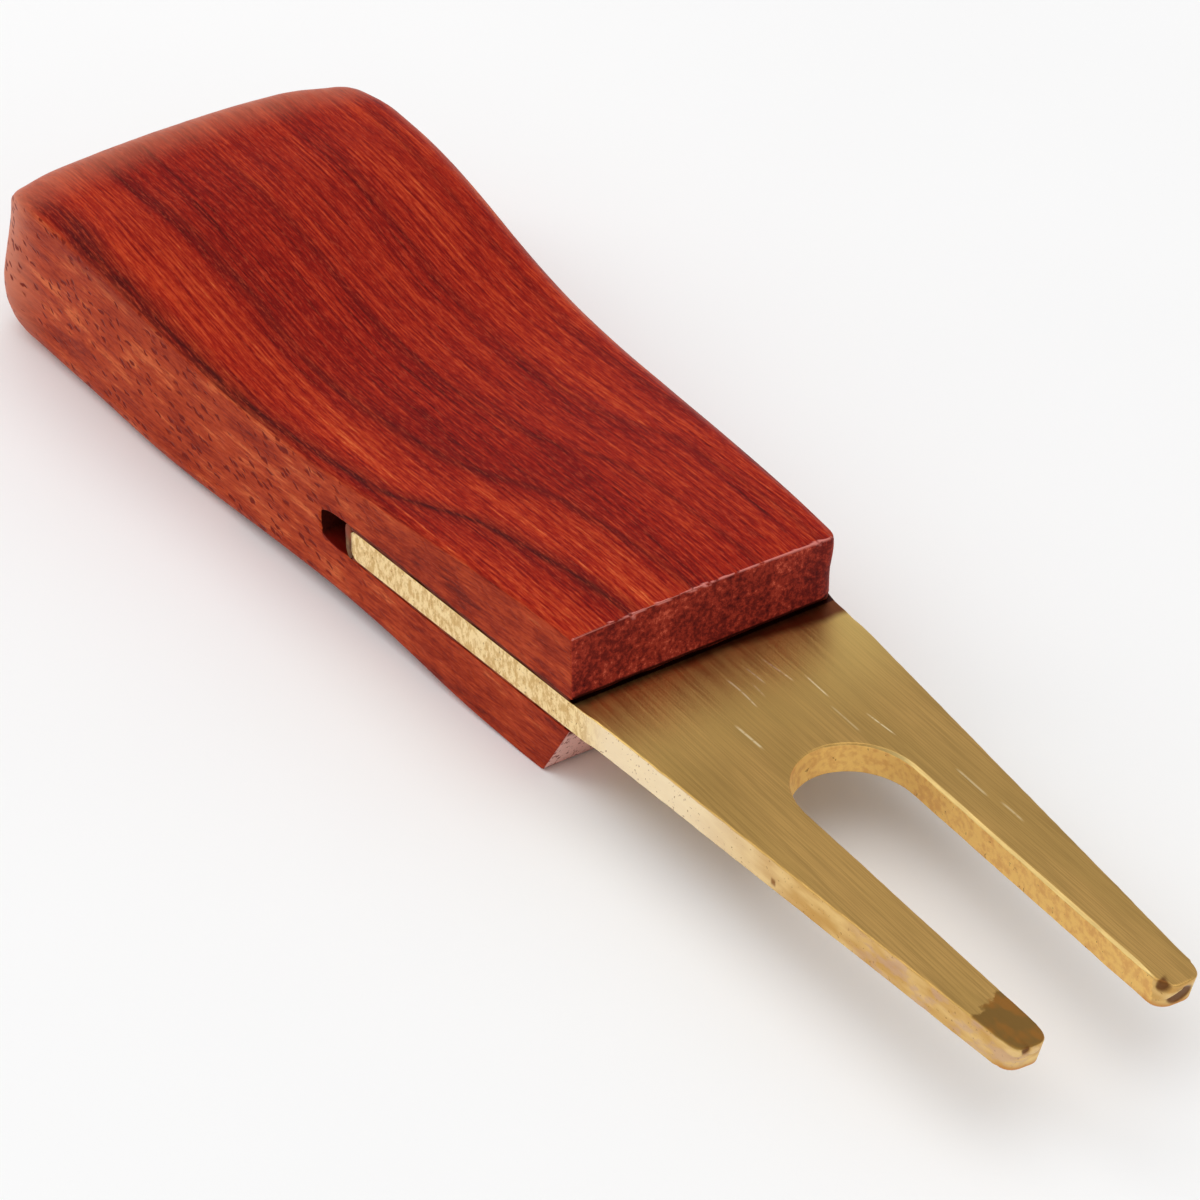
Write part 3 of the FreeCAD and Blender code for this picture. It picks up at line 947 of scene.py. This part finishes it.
def wood_material():
    g = Graph(bpy.data.materials.new("padauk"))
    x, y, z = g.parts(g.place)
    waver = (g.noise((0.035, 0.16, 0.16), 2.0) - 0.5) * 1.6
    fine_waver = (g.noise((0.3, 1.2, 1.2), 2.0, shift=3.0) - 0.5) * 0.35
    slide = (x + 45.0) * 0.075 + (g.step(x, -9.0, 0.0, 0.0, 2.2) - 8.6)
    level = (z - 11.0) * VEIN_TILT
    spacing = (x + 42.0) * -0.033 + 7.0
    ring = y - level - slide
    kink = g.step(x, -57.0, -50.0, 0.0, -1.1) * g.fall(x, -50.0, -42.0)
    waver += kink * g.fall(y, -13.0, -9.0)
    ring = (ring + (waver + fine_waver)) / spacing
    along = g.math("DIVIDE", ring - RING_FIRST, RING_SPAN, clamp=True)
    zones, veins = (
        g.ramp(along, [((ring_at - RING_FIRST) / RING_SPAN, tone) for ring_at, tone in table])
        for table in (RING_TONES, RING_VEINS))
    edge_band = g.step(ring, -1.26, -1.14) * g.fall(ring, -1.0, -0.9)
    edge_band *= g.step(x, -24.0, -12.0, 0.85, 0.0)
    veins = g.math("MAXIMUM", veins, edge_band)
    rise = g.step(x, SADDLE_X, FRONT_X, 0.0, LIP_RISE)
    rise += g.step(x, SADDLE_X - BUTT_SLOPE_LENGTH, SADDLE_X, BUTT_RISE, 0.0)
    flow = g.joined(x, y + waver * 0.35, z - rise * g.step(z, 3.0, 10.0))
    streaks = g.noise((0.045, 1.3, 1.3), 3.0, 0.6, place=flow)
    threads = g.noise((0.075, 4.4, 4.4), 2.0, 0.6, shift=5.0, place=flow)
    dashes = g.noise((0.7, 6.4, 6.4), 2.0, 0.6, shift=9.0, place=flow)
    grain = (streaks - 0.5) * 0.7 + (threads - 0.5) * 1.15
    grain += (dashes - 0.5) * g.step(x, -45.0, -5.0, 0.7, 1.0)
    zones += g.step(x, -8.0, 12.0, 0.02, 0.07)
    top = g.ramp(g.math("ADD", zones, grain, clamp=True), TOP_TONES)
    vein_grain = g.step(g.noise((0.2, 4.0, 4.0), 2.0, shift=15.0), 0.3, 0.62, 0.6, 1.0)
    veins *= g.step(x, -56.0, -43.0, 0.12, 1.0)
    top = g.mix(veins * vein_grain, top, VEIN_BROWN)

    mottle = g.noise((0.14, 0.55, 0.55), 3.0, 0.6, shift=21.0)
    side_tone = (mottle - 0.5) * 1.6 + grain * 0.75
    side_tone = g.math("ADD", g.step(x, -20.0, 5.0, 0.56, 0.42), side_tone, clamp=True)
    side = g.ramp(side_tone, SIDE_TONES)
    side_vein = veins * g.step(z, 10.5, 12.8, 0.12, 0.85)
    side = g.mix(side_vein * vein_grain, side, SIDE_BAND)
    # Painted sheen: a pale highlight on the rear of the sides, by the butt corner.
    side = g.mix(g.step(x + z * -0.2, -60.2, -54.8, 0.9, 0.0), side, CORNER_PAINTED_SHEEN)
    side_face = g.attribute("side_face")
    colour = g.mix(side_face, top, side)
    fluff = g.noise((1.0, 7.0, 7.0), 2.0, 0.7, shift=50.0, place=flow)
    colour = g.mix(g.step(fluff, 0.5, 0.7, 0.0, 0.3), colour, FIBRE_DUST)
    colour = g.mix(g.step(fluff, 0.3, 0.48, 0.36, 0.0), colour, FIBRE_GAP)

    end_grain = g.attribute("end_grain")
    end_spots = g.noise((1.0, 2.5, 2.5), 3.0, 0.75, shift=27.0)
    end_cloud = g.noise((0.3, 0.5, 0.35), 2.0, 0.5, shift=35.0)
    end_tone = (end_spots - 0.5) * 1.8 + (end_cloud - 0.5) * 0.9
    end = g.ramp(g.math("ADD", end_tone, 0.52, clamp=True), END_TONES)
    # Painted reflection of the pale floor, broken into spots, on the slanted end face of the lower
    # lip.
    lower_lip = g.fall(z, 5.2, 5.5) * g.step(x, 8.0, 10.0)
    reflection_spots = g.step(end_spots, 0.36, 0.46)
    end = g.mix(lower_lip * reflection_spots * 0.9, end, LOWER_LIP_REFLECTION)
    colour = g.mix(end_grain * g.step(x, 0.0, 10.0, 0.3, 0.95), colour, end)
    # Painted sheen: a pale highlight on the top where it rounds over the butt, a little weaker on
    # the end grain and broken by the streaks.
    rearmost = x + y * y * (-END_BOW / 180.0)
    painted_sheen = g.step(rearmost, -57.6, -51.0, 0.9, 0.0) * g.step(end_grain, 0.2, 1.0, 1.0, 0.75)
    painted_sheen *= g.step(streaks, 0.2, 0.7, 0.6, 1.0)
    colour = g.mix(painted_sheen, colour, BUTT_PAINTED_SHEEN)

    leaning = g.joined(x, y, z + x * 0.25)
    strayed = g.vector("ADD", leaning, (g.noise((1.1, 1.1, 1.1), 1.0, shift=46.0) - 0.5) * 0.8)
    gap, pick = g.cells((0.8, 0.1, 1.8), 2.0, strayed)
    crowd, size = g.parts(pick)[:2]
    chosen = g.step(crowd + g.noise((0.16, 0.16, 0.4), 1.0, shift=44.0), 0.78, 0.82)
    size = g.step(size, 0.1, 0.9, 0.24, 0.5)
    pores = g.fall(gap, size * 0.55, size) * chosen
    fine_gap, fine_pick = g.cells((0.6, 3.4, 3.4), 6.0)
    fine = g.fall(fine_gap, 0.12, 0.3) * g.step(g.parts(fine_pick)[1], 0.55, 0.6)
    rear = g.step(x, -16.0, -4.0, 1.0, 0.3)
    pore_mask = pores * g.step(side_face, 0.6, 1.0) * rear
    fine_mask = fine * g.step(side_face, 0.3, 1.0, 0.25, 0.5)
    dot, dot_pick = g.cells((0.2, 1.5, 1.5), 11.0)
    dots = g.fall(dot, 0.1, 0.24) * g.step(g.parts(dot_pick)[0], 0.4, 0.45)
    dots = dots * end_grain * g.step(x, -50.0, -40.0, 0.9, 0.0)
    both = g.math("MAXIMUM", g.math("MAXIMUM", pore_mask, fine_mask), dots)
    colour = g.mix(both * 0.92, colour, PORE)

    torn = g.attribute("worn_edge") * g.step(g.noise((2.0, 1.6, 2.0), 2.0, shift=33.0), 0.3, 0.48)
    colour = g.mix(torn * 0.8, colour, TORN_PINK)
    # Painted shade inside the kerf: nearly black on its walls and roof, a lighter dark red on its
    # floor.
    kerf_shade = g.mix(g.fall(z, KERF_BOTTOM + 0.1, KERF_BOTTOM + 0.5), KERF_SHADE,
                     KERF_FLOOR_SHADE)
    colour = g.mix(g.attribute("kerf_wall") * 0.93, colour, kerf_shade)

    height = streaks * 0.5 + threads * 0.7
    height -= both * 0.9
    height += end_spots * end_grain * 1.2
    sheen = g.step(threads, 0.3, 0.7, 0.36, 0.48) + end_grain * 0.18
    return g.finish(Base_Color=colour, Roughness=sheen, Specular_IOR_Level=0.035,
                    Normal=g.bump(height, 0.05, 0.6))


BRASS = (204, 162, 94)
BRASS_DULL = (190, 152, 86)
BRASS_LIGHT = (236, 202, 122)
BRASS_DARK = (150, 116, 62)
BRASS_SIDE = (238, 206, 140)
BRASS_SIDE_DARK = (212, 168, 96)
TANG_PALE = (252, 230, 178)
TANG_DULL = (222, 188, 126)
PALE_RIM = (255, 240, 208)
BEVEL_PALE = (196, 171, 112)
WALL_GOLD = (246, 208, 128)
WALL_ORANGE = (232, 184, 112)
TARNISH = (126, 94, 46)
TARNISH_RUST = (150, 100, 42)
PIT = (150, 96, 44)
ROSY_SMUDGE = (208, 172, 152)
SCRATCH = (250, 232, 186)
NICK_X, NICK_Z = 35.7, BLADE_BOTTOM + 0.7
# Painted shadow in the gap under the wood's lip.
LIP_GAP_SHADOW = (60, 20, 10)
# Painted shade and reflection of the wood's lip on the brass, together with a real dark stain.
LIP_SHADE_AND_STAIN = (108, 42, 20)
TIP_BROWN = (104, 58, 26)
TIP_PALE = (236, 204, 144)
RIM_ORANGE = (208, 144, 78)

# Bright scratches along the blade: start x, end x, y, rise over the length, strength.
SCRATCHES = (
    (20.5, 23.7, 3.95, -0.1, 0.9), (26.2, 29.5, 5.1, 0.05, 0.8), (17.5, 21.0, 2.7, 0.1, 0.9),
    (17.6, 20.2, 1.1, 0.0, 0.8), (18.0, 22.0, -0.95, 0.05, 1.0), (22.5, 26.0, -3.05, 0.1, 0.8),
    (34.2, 38.0, 6.3, 0.0, 0.5), (38.6, 41.4, 6.6, 0.05, 0.45), (24.2, 28.0, 3.3, 0.0, 0.35),
    (19.2, 21.4, 0.3, 0.0, 0.4),
)


def brass_material():
    g = Graph(bpy.data.materials.new("brushed_brass"))
    x, y, z = g.parts(g.place)
    edge, top_face, slot_wall = (g.attribute("edge_face"), g.attribute("top_face"),
                                 g.attribute("slot_wall"))
    brush = g.noise((0.16, 12.0, 12.0), 2.0, 0.6)
    cloud = g.noise((0.05, 0.22, 0.22), 3.0, 0.6, shift=8.0)
    face = g.mix(g.step(cloud, 0.35, 0.65), BRASS_DULL, BRASS)
    face = g.mix(g.fall(brush, 0.36, 0.62) * 0.38, face, BRASS_DARK)
    face = g.mix(g.step(x, 14.0, 28.0, 0.72, 0.0), face, BRASS_LIGHT)

    speckle = g.noise((2.6, 2.0, 1.4), 3.0, 0.7, shift=12.0)
    smear = g.noise((0.35, 0.5, 0.9), 2.0, 0.5, shift=22.0)
    rim = g.mix(g.step(speckle, 0.38, 0.6), TANG_DULL, TANG_PALE)
    smooth_rim = g.mix(g.step(smear, 0.3, 0.8), BRASS_SIDE_DARK, BRASS_SIDE)
    smooth_rim = g.mix(g.step(x, 24.0, 40.0, 0.85, 0.0), smooth_rim, PALE_RIM)
    rim = g.mix(g.step(x, FRONT_X, FRONT_X + 4.0), rim, smooth_rim)
    specks = g.step(g.noise((3.5, 3.5, 3.5), 2.0, 0.6, shift=14.0), 0.66, 0.7) * 0.6
    rim = g.mix(specks, rim, PIT)
    nick = g.fall(g.math("ABSOLUTE", x - NICK_X), 0.12, 0.32)
    nick *= g.fall(g.math("ABSOLUTE", z - NICK_Z), 0.1, 0.4)
    rim = g.mix(nick * g.step(y, 0.0, -1.0, 0.0, 0.8), rim, PIT)
    grains = g.noise((1.6, 1.6, 1.6), 3.0, 0.6, shift=16.0)
    wall = g.mix(g.step(grains, 0.34, 0.6), WALL_ORANGE, WALL_GOLD)
    wall = g.mix(g.step(speckle, 0.34, 0.3) * 0.7, wall, PIT)
    rim = g.mix(slot_wall, rim, wall)
    colour = g.mix(edge, face, rim)
    colour = g.mix(g.attribute("bevel") * 0.85, colour, BEVEL_PALE)

    # Painted shade and reflection of the wood's dark lip, together with a real dark stain, on the
    # brass top just in front of the lip. The band is about a millimetre wide, narrower at the near
    # edge and wider on the far side.
    wobble = (g.noise((0.4, 0.35, 0.4), 2.0, shift=18.0) - 0.5) * 0.9
    spread = g.step(y, -9.5, -11.0, 0.0, 0.8) + g.step(y, 0.0, 9.0, 0.0, -0.95)
    beyond = x - FRONT_X + (wobble + spread)
    under_lip = g.fall(beyond, 0.15, 1.25) * top_face
    colour = g.mix(under_lip * g.step(y, -8.0, 2.0, 0.6, 0.92), colour, LIP_SHADE_AND_STAIN)
    # Painted shadow: a thin, nearly black line on the brass top right at the lip, in the gap under
    # the wood.
    colour = g.mix(g.fall(x - FRONT_X, 0.0, 0.18) * top_face, colour, LIP_GAP_SHADOW)

    ragged = (g.noise((0.9, 1.1, 0.5), 3.0, 0.6, shift=20.0) - 0.5) * 2.4
    start = (y + 5.8) * -0.35 + 53.9
    patch = x + ragged - start
    patch = g.step(patch, 0.0, 0.5) * g.step(y, -3.0, -3.2) * top_face
    rust = g.step(g.noise((0.5, 0.8, 0.5), 2.0, shift=26.0), 0.45, 0.65)
    colour = g.mix(patch * 0.9, colour, g.mix(rust, TARNISH, TARNISH_RUST))

    smudge = g.step(g.noise((0.45, 0.5, 0.8), 3.0, 0.6, shift=24.0), 0.46, 0.6) * edge
    smudge = smudge * g.step(x, 42.0, 46.0) * g.step(y, -4.0, -6.0)
    colour = g.mix(smudge * 0.55, colour, ROSY_SMUDGE)
    low_rim = g.fall(z, BLADE_BOTTOM + 0.15, BLADE_BOTTOM + 0.6) * g.step(x, 56.5, 57.6)
    colour = g.mix(low_rim * 0.8, colour, RIM_ORANGE)
    colour = g.mix(g.attribute("tip_bright") * 0.85, colour, TIP_PALE)
    colour = g.mix(g.attribute("tip_dark") * 0.9, colour, TIP_BROWN)

    marks = None
    bent = y + (g.noise((0.13, 0.3, 0.3), 0.0, shift=30.0) - 0.5) * 1.3
    for start, stop, side_y, rise, strength in SCRATCHES:
        slope = rise / (stop - start)
        away = g.math("ABSOLUTE", bent + x * -slope + (slope * start - side_y))
        line = g.step(away, 0.03, 0.1, strength, 0.0) * g.step(x, start, start + 0.8)
        line *= g.fall(x, stop - 0.8, stop)
        marks = line if marks is None else g.math("MAXIMUM", marks, line)
    marks = marks * top_face * g.step(g.noise((2.5, 1.0, 1.0), 1.0, shift=28.0), 0.3, 0.5, 0.4, 1.0)
    colour = g.mix(marks * 0.9, colour, SCRATCH)

    rough = g.step(brush, 0.3, 0.7, 0.32, 0.42) + edge * 0.2
    rough += patch * 0.15
    height = g.mix(edge, brush, g.mix(slot_wall, speckle, grains))
    return g.finish(Base_Color=colour, Metallic=1.0, Roughness=rough,
                    Normal=g.bump(height, 0.02, 0.5))


def glue_material(name, dark, light, upper, rough):
    g = Graph(bpy.data.materials.new(name))
    lumps = g.noise((1.4, 1.4, 1.4), 3.0, 0.6)
    colour = g.mix(g.step(lumps, 0.35, 0.68), dark, light)
    height = g.parts(g.place)[2]
    colour = g.mix(g.step(height, KERF_BOTTOM + 1.2, KERF_TOP - 0.7, 0.0, 0.8), colour, upper)
    return g.finish(Base_Color=colour, Roughness=g.step(lumps, 0.3, 0.7, rough, rough + 0.2),
                    Specular_IOR_Level=0.12,
                    Normal=g.bump(lumps, 0.1, 0.6))


def floor_material():
    g = Graph(bpy.data.materials.new("pale_floor"))
    cloud = g.noise((0.02, 0.02, 0.02), 2.0)
    colour = g.mix(cloud, (246, 246, 246), (250, 250, 250))
    return g.finish(Base_Color=colour, Roughness=0.9, Specular_IOR_Level=0.1)


# ---- Pieces ----

wood, brass = wood_material(), brass_material()
epoxy = glue_material("cured_glue", (104, 38, 22), (156, 74, 44), (96, 30, 18), 0.35)
sawdust_glue = glue_material("sawdust_glue", (98, 62, 40), (140, 104, 66), (142, 62, 44), 0.5)

pieces = [
    (make_handle(wood), "handle", "handle_wood"),
    (make_fork(brass), "fork_blade", "fork_brass"),
    (glue_slab("glue_above_tang", FRONT_X - 0.3, BLADE_TOP, KERF_TOP, epoxy),
     "upper_glue_line", "cured_epoxy"),
    (glue_slab("glue_below_tang", FRONT_X - 0.9, KERF_BOTTOM, BLADE_BOTTOM, epoxy),
     "lower_glue_line", "cured_epoxy"),
    (glue_bead(sawdust_glue), "rear_glue_bead", "glue_and_sawdust"),
]
for piece, node, slot in pieces:
    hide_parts(node)
    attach(piece, "root")


# ---- Floor, light and camera ----

FLOOR_HALF_M = 4.0
# Sky: from and to which height it brightens, and its strength at each.
SKY_RISE = (0.02, 0.45, 1.0, 0.62)
OVERHEAD_STRENGTH, OVERHEAD_DEGREES = 0.92, 68.0
SOFTBOX_PLACE_M, SOFTBOX_SIZE_M, SOFTBOX_POWER = (-0.62, -0.5, 0.58), 0.5, 1.5

# The viewing angle and lens of the reference view.
CAMERA_AZIMUTH, CAMERA_ELEVATION = math.radians(56.73), math.radians(36.495)
CAMERA_TARGET, CAMERA_DISTANCE_M = (6.1, -2.9, 7.7), 0.3468
LENS_MM, SENSOR_MM = 152.15, 36.0


def make_floor():
    mesh = bpy.data.meshes.new("floor")
    corners = [(x * FLOOR_HALF_M, y * FLOOR_HALF_M, 0)
               for x, y in ((-1, -1), (1, -1), (1, 1), (-1, 1))]
    mesh.from_pydata(corners, [], [(0, 1, 2, 3)])
    mesh.materials.append(floor_material())
    floor = link("floor", mesh)


def make_lights():
    """A wide soft light from straight above, and a square softbox that faces the tool."""
    overhead = bpy.data.lights.new("overhead", "SUN")
    overhead.energy, overhead.angle = OVERHEAD_STRENGTH, math.radians(OVERHEAD_DEGREES)
    link("overhead", overhead)
    softbox = bpy.data.lights.new("left_behind", "AREA")
    softbox.shape, softbox.size, softbox.energy = "SQUARE", SOFTBOX_SIZE_M, SOFTBOX_POWER
    lamp = link("left_behind", softbox)
    lamp.location = SOFTBOX_PLACE_M
    lamp.rotation_euler = (-Vector(SOFTBOX_PLACE_M)).to_track_quat("-Z", "Y").to_euler()


def make_world():
    world = bpy.data.worlds.new("studio")
    g = Graph(world, "Generated", 1.0)
    height = g.parts(g.place)[2]
    sky = world.node_tree.nodes["Background"]
    g.put(sky.inputs["Strength"], g.step(height, *SKY_RISE))
    g.put(sky.inputs["Color"], (255, 255, 255))
    scene.world = world


def make_camera():
    data = bpy.data.cameras.new("camera")
    data.sensor_width, data.lens = SENSOR_MM, LENS_MM
    data.clip_start, data.clip_end = 0.01, 50.0
    camera = link("camera", data)
    level = math.cos(CAMERA_ELEVATION)
    back = Vector((math.sin(CAMERA_AZIMUTH) * level, -math.cos(CAMERA_AZIMUTH) * level,
                   math.sin(CAMERA_ELEVATION)))
    camera.location = Vector(CAMERA_TARGET) * MM + back * CAMERA_DISTANCE_M
    camera.rotation_euler = (-back).to_track_quat("-Z", "Y").to_euler()
    scene.camera = camera


make_floor()
make_world()
make_lights()
make_camera()
scene.view_settings.view_transform = "Standard"
